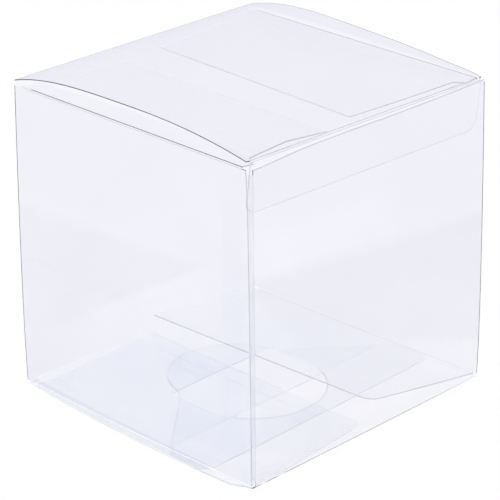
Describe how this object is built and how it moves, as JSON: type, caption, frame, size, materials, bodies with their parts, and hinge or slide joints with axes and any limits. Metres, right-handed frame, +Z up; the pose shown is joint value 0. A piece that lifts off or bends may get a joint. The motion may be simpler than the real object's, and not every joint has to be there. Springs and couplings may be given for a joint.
{
  "type": "clear plastic cube box",
  "caption": "Clear folding gift box, a cube with a bowed tuck-in lid, dust flaps, a glued side seam and a locking base with a half-moon window.",
  "frame": {"origin": "on the surface that the box stands on, under the middle of the four walls", "axes": "+Z up; -Y faces the front wall, which the lid tucks behind; the lid is hinged on the back wall, +Y; the glued seam is at the front left corner, -X -Y"},
  "size_m": [0.1, 0.1, 0.1084],
  "materials": {
    "clear_sheet": "clear PET sheet, glossy, faintly lavender, darker at its cut edges",
    "clear_adhesive": "dried clear contact adhesive, slightly cloudy"
  },
  "bodies": {
    "walls": {"front_wall": "clear_sheet", "right_wall": "clear_sheet", "back_wall": "clear_sheet", "left_wall": "clear_sheet", "glue_tab": "clear_sheet", "seam_adhesive": "clear_adhesive", "base_main_flap": "clear_sheet", "base_locking_flap": "clear_sheet", "base_lock_tongue": "clear_sheet"},
    "lid": {"lid_panel": "clear_sheet"},
    "tuck": {"tuck_flap": "clear_sheet"},
    "left_dust": {"left_dust_flap": "clear_sheet"},
    "right_dust": {"right_dust_flap": "clear_sheet"},
    "left_base": {"base_left_side_flap": "clear_sheet"},
    "right_base": {"base_right_side_flap": "clear_sheet"}
  },
  "joints": [
    {"name": "lid_crease", "type": "hinge", "parent": "walls", "child": "lid", "pos_m": [0, 0.05, 0.1031], "axis": [-1, 0, 0], "range_deg": [0, 180]},
    {"name": "tuck_crease", "type": "hinge", "parent": "lid", "child": "tuck", "pos_m": [0, -0.0492, 0.10415], "axis": [-1, 0, 0], "range_deg": [0, 54]},
    {"name": "left_dust_crease", "type": "hinge", "parent": "walls", "child": "left_dust", "pos_m": [-0.0497, 0, 0.1017], "axis": [0, 1, 0], "range_deg": [0, 70]},
    {"name": "right_dust_crease", "type": "hinge", "parent": "walls", "child": "right_dust", "pos_m": [0.0497, 0, 0.1017], "axis": [0, -1, 0], "range_deg": [0, 70]},
    {"name": "left_base_crease", "type": "hinge", "parent": "walls", "child": "left_base", "pos_m": [-0.0497, 0, 0.0028], "axis": [0, -1, 0], "range_deg": [0, 65]},
    {"name": "right_base_crease", "type": "hinge", "parent": "walls", "child": "right_base", "pos_m": [0.0497, 0, 0.0028], "axis": [0, 1, 0], "range_deg": [-8.5, 56]}
  ],
  "couplings": [
    {"joint": "tuck_crease", "follows": "lid_crease", "ratio": 0.3}
  ]
}
